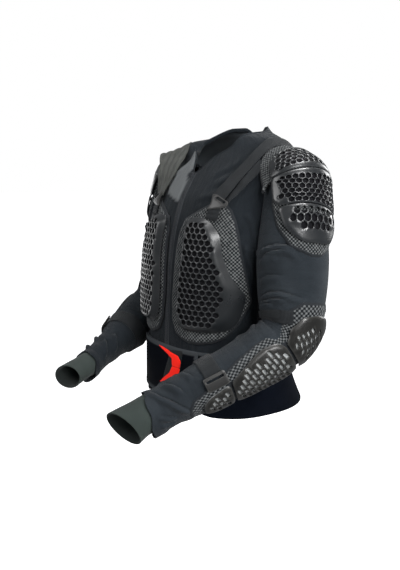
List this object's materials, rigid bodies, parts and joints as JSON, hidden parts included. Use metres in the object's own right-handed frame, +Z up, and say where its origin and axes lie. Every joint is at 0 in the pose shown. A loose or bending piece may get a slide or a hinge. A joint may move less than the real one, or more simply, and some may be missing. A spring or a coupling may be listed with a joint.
{
  "type": "motorcycle body armor",
  "caption": "Close-fitting mesh jacket with bent sleeves, a waist belt, and hard pierced guards on foam pads at the chest, shoulders and elbows.",
  "frame": {"origin": "middle of the wearer's neck base, where the jacket sits on the shoulders", "axes": "+Z up, the wearer faces -Y, the wearer's left is +X"},
  "size_m": [0.605, 0.488, 0.5685],
  "materials": {
    "mesh_cloth": "fine charcoal stretch mesh with a soft sheen",
    "zip": "black woven tape with small moulded teeth",
    "belt_cloth": "navy-black brushed stretch fabric",
    "webbing": "dark grey woven webbing",
    "red_print": "bright red rubbery print",
    "cuff_cloth": "smooth green-grey neoprene",
    "pad_foam": "black spacer weave spotted with light grey nubs",
    "shell_plastic": "satin black moulded plastic",
    "buckle_plastic": "light grey moulded plastic"
  },
  "bodies": {
    "root": {"back_panel": "mesh_cloth", "front_left_panel": "mesh_cloth", "front_right_panel": "mesh_cloth", "neck_binding": "mesh_cloth", "left_upper_sleeve": "mesh_cloth", "left_elbow_sleeve": "mesh_cloth", "left_forearm_sleeve": "mesh_cloth", "left_wrist_sleeve": "mesh_cloth", "right_upper_sleeve": "mesh_cloth", "right_elbow_sleeve": "mesh_cloth", "right_forearm_sleeve": "mesh_cloth", "right_wrist_sleeve": "mesh_cloth", "front_zip": "zip", "waist_belt": "belt_cloth", "belt_flap": "belt_cloth", "belt_strip": "webbing", "left_elbow_strap": "webbing", "left_forearm_strap": "webbing", "left_shoulder_strap": "webbing", "left_cup_strap": "webbing", "left_chest_tab": "webbing", "right_elbow_strap": "webbing", "right_forearm_strap": "webbing", "right_shoulder_strap": "webbing", "right_cup_strap": "webbing", "right_chest_tab": "webbing", "belt_mark_wide": "red_print", "belt_mark_narrow": "red_print", "left_cuff": "cuff_cloth", "right_cuff": "cuff_cloth", "left_chest_pad": "pad_foam", "left_shoulder_pad": "pad_foam", "left_elbow_pad": "pad_foam", "right_chest_pad": "pad_foam", "right_shoulder_pad": "pad_foam", "right_elbow_pad": "pad_foam", "left_chest_shell": "shell_plastic", "left_shoulder_shell_top": "shell_plastic", "left_shoulder_shell_mid": "shell_plastic", "left_shoulder_shell_low": "shell_plastic", "left_elbow_cup": "shell_plastic", "left_forearm_plate": "shell_plastic", "left_wrist_plate": "shell_plastic", "right_chest_shell": "shell_plastic", "right_shoulder_shell_top": "shell_plastic", "right_shoulder_shell_mid": "shell_plastic", "right_shoulder_shell_low": "shell_plastic", "right_elbow_cup": "shell_plastic", "right_forearm_plate": "shell_plastic", "right_wrist_plate": "shell_plastic", "left_forearm_buckle": "buckle_plastic", "left_strap_buckle": "buckle_plastic", "right_forearm_buckle": "buckle_plastic", "right_strap_buckle": "buckle_plastic"}
  },
  "joints": []
}
